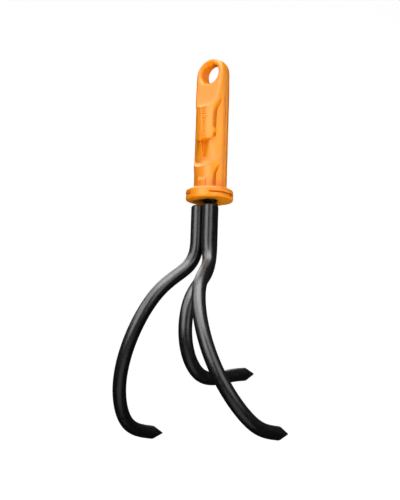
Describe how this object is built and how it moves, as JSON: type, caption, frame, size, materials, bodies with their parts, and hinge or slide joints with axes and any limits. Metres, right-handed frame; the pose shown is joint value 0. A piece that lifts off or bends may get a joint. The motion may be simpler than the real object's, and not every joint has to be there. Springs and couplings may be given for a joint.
{
  "type": "hand cultivator",
  "caption": "Hand cultivator: an oval moulded plastic grip with a hanging hole and slotted flange, on a welded bundle of bent round steel rods that part into pointed hooks.",
  "frame": {"origin": "centre of the hanging hole, in the grip's head", "axes": "+Z along the grip towards its crown, the long way of the tool; +Y along the hanging hole, the way the tine points face; +X across, with the YZ plane as the mirror plane"},
  "size_m": [0.1254, 0.1105, 0.2861],
  "materials": {
    "grip_plastic": "orange injection-moulded plastic, satin with a fine texture",
    "tine_paint": "black semi-gloss paint on round steel bar",
    "weld_paint": "black semi-gloss paint over a fillet weld"
  },
  "bodies": {
    "root": {"handle": "grip_plastic", "centre_tine": "tine_paint", "left_tine": "tine_paint", "right_tine": "tine_paint", "left_weld": "weld_paint", "right_weld": "weld_paint"}
  },
  "joints": []
}
